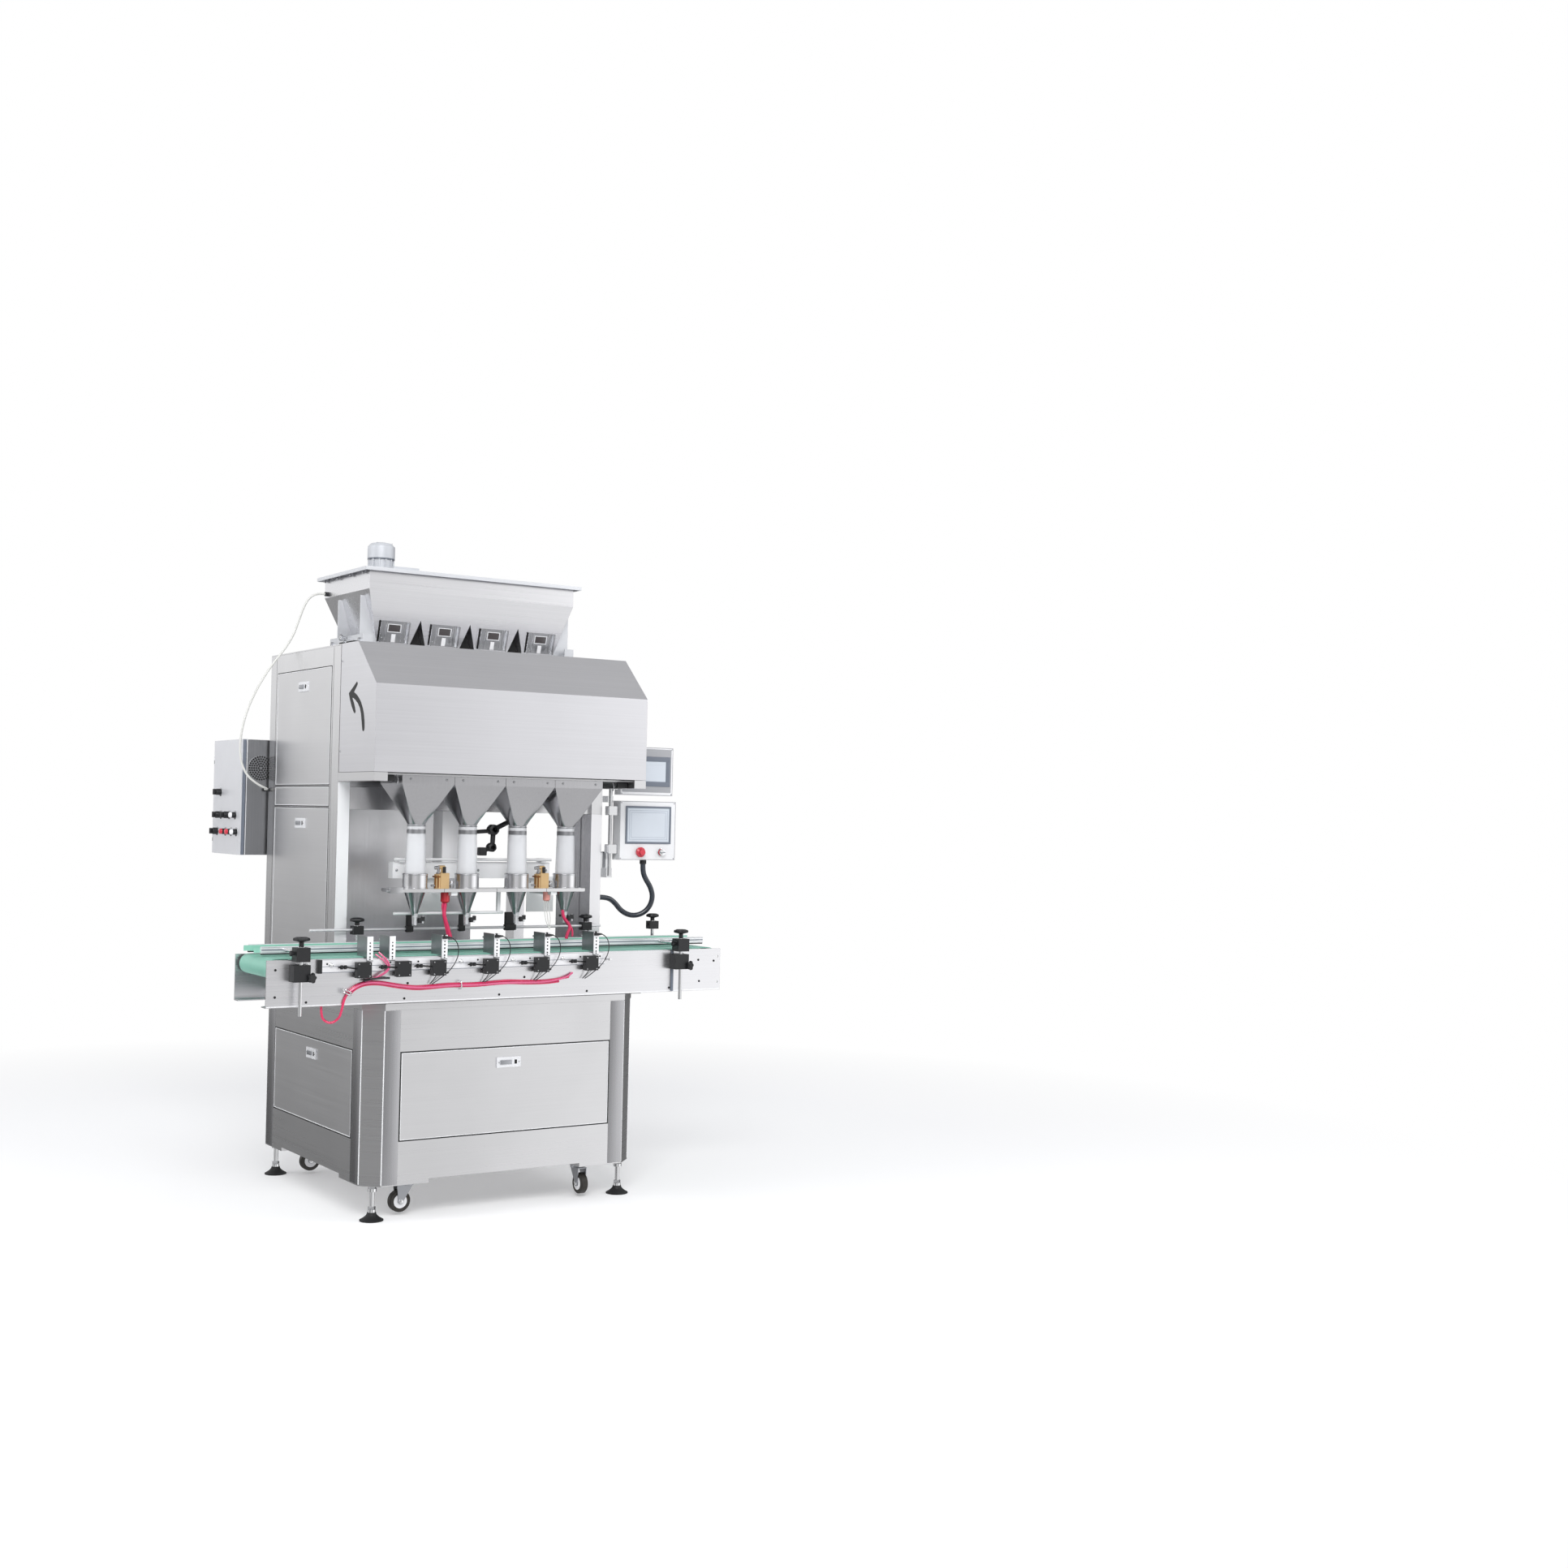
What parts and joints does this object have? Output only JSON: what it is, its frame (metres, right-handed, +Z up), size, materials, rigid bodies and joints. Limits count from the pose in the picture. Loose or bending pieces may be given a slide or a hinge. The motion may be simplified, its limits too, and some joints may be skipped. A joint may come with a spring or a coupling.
{
  "type": "linear multihead weigher and filler",
  "caption": "In-line weighing and filling machine: cabinet base, column with hinged hood, feed hopper, drop nozzles over a guided belt.",
  "frame": {"origin": "middle of the footprint on the floor, under the foot pads", "axes": "+X to the operator's right along the conveyor, +Y away from the operator, +Z up"},
  "size_m": [1.742, 1.4579, 2.369],
  "materials": {
    "stainless_housing": "vertical brushed grain",
    "stainless_sheet": "fine brushed grain",
    "stainless_polished": "bright rolled",
    "steel_bright": "ground bright",
    "aluminium_profile": "anodised satin",
    "belt_green": "satin",
    "liner_green": "satin",
    "black_plastic": "satin",
    "caster_tread": "satin",
    "clear_tube": "translucent",
    "bronze_body": "cast and machined",
    "red_hose": "gloss",
    "red_plastic": "gloss",
    "grey_paint": "textured light grey",
    "motor_paint": "satin",
    "cable_white": "satin",
    "foot_plastic": "satin"
  },
  "bodies": {
    "frame": {"base_housing": "stainless_housing", "base_top_cap": "stainless_housing", "base_access_panels": "stainless_sheet", "panel_latches": "steel_bright", "foot_studs": "steel_bright", "foot_pads": "foot_plastic", "caster_plates": "steel_bright", "column_left_wall": "stainless_housing", "column_head": "stainless_housing", "column_side_panels": "stainless_sheet", "column_right_posts": "stainless_housing", "column_top_plate": "stainless_housing", "column_back_panel": "stainless_sheet", "hood_hinges": "steel_bright", "weigh_frame": "stainless_housing", "discharge_funnels": "stainless_polished", "discharge_tubes": "clear_tube", "nozzle_plate": "stainless_polished", "filling_nozzles": "stainless_polished", "pneumatic_vibrators": "bronze_body", "nozzle_carrier": "aluminium_profile", "weigh_buckets": "stainless_polished", "feeder_trays": "stainless_polished", "feeder_drives": "stainless_housing", "feed_hopper": "stainless_sheet", "hopper_gates": "stainless_polished", "hopper_brackets": "stainless_sheet", "hopper_motor": "motor_paint", "conveyor_frame": "stainless_polished", "conveyor_belt": "belt_green", "conveyor_rollers": "steel_bright", "guide_rails": "aluminium_profile", "guide_liners": "liner_green", "guide_posts": "steel_bright", "guide_rod": "steel_bright", "guide_clamps": "black_plastic", "mounting_bar": "aluminium_profile", "valve_boxes": "black_plastic", "stop_brackets": "stainless_polished", "stop_cylinders": "steel_bright", "hose_bundle": "red_hose", "hmi_holder": "steel_bright", "hmi_box": "grey_paint", "display_box": "grey_paint", "hmi_buttons": "red_plastic", "hmi_conduit": "black_plastic", "control_box_body": "grey_paint", "hopper_sensor_cable": "cable_white", "cable_glands": "black_plastic"},
    "hood": {"hood_shell": "stainless_sheet"},
    "control_door": {"control_box_door": "grey_paint", "door_switches": "black_plastic"},
    "caster_swivel_front_left": {"caster_fork_fl": "steel_bright"},
    "wheel_front_left": {"caster_wheel_fl": "caster_tread"},
    "caster_swivel_front_right": {"caster_fork_fr": "steel_bright"},
    "wheel_front_right": {"caster_wheel_fr": "caster_tread"},
    "caster_swivel_rear_left": {"caster_fork_rl": "steel_bright"},
    "wheel_rear_left": {"caster_wheel_rl": "caster_tread"},
    "caster_swivel_rear_right": {"caster_fork_rr": "steel_bright"},
    "wheel_rear_right": {"caster_wheel_rr": "caster_tread"}
  },
  "joints": [
    {"name": "hood_hinge", "type": "hinge", "parent": "frame", "child": "hood", "pos_m": [0.0165, -0.3285, 1.968], "axis": [-1, 0, 0], "range_deg": [0, 85]},
    {"name": "control_door_hinge", "type": "hinge", "parent": "frame", "child": "control_door", "pos_m": [-0.607, 0.725, 1.422], "axis": [0, 0, -1], "range_deg": [0, 100]},
    {"name": "caster_swivel_front_left", "type": "hinge", "parent": "frame", "child": "caster_swivel_front_left", "pos_m": [-0.321, -0.565, 0.104], "axis": [0, 0, 1], "continuous": true},
    {"name": "wheel_spin_front_left", "type": "hinge", "parent": "caster_swivel_front_left", "child": "wheel_front_left", "pos_m": [-0.349, -0.565, 0.0475], "axis": [0, 1, 0], "continuous": true},
    {"name": "caster_swivel_front_right", "type": "hinge", "parent": "frame", "child": "caster_swivel_front_right", "pos_m": [0.339, -0.565, 0.104], "axis": [0, 0, 1], "continuous": true},
    {"name": "wheel_spin_front_right", "type": "hinge", "parent": "caster_swivel_front_right", "child": "wheel_front_right", "pos_m": [0.339, -0.593, 0.0475], "axis": [1, 0, 0], "continuous": true},
    {"name": "caster_swivel_rear_left", "type": "hinge", "parent": "frame", "child": "caster_swivel_rear_left", "pos_m": [-0.321, 0.28, 0.104], "axis": [0, 0, 1], "continuous": true},
    {"name": "wheel_spin_rear_left", "type": "hinge", "parent": "caster_swivel_rear_left", "child": "wheel_rear_left", "pos_m": [-0.349, 0.28, 0.0475], "axis": [0, 1, 0], "continuous": true},
    {"name": "caster_swivel_rear_right", "type": "hinge", "parent": "frame", "child": "caster_swivel_rear_right", "pos_m": [0.339, 0.28, 0.104], "axis": [0, 0, 1], "continuous": true},
    {"name": "wheel_spin_rear_right", "type": "hinge", "parent": "caster_swivel_rear_right", "child": "wheel_rear_right", "pos_m": [0.339, 0.308, 0.0475], "axis": [1, 0, 0], "continuous": true}
  ]
}
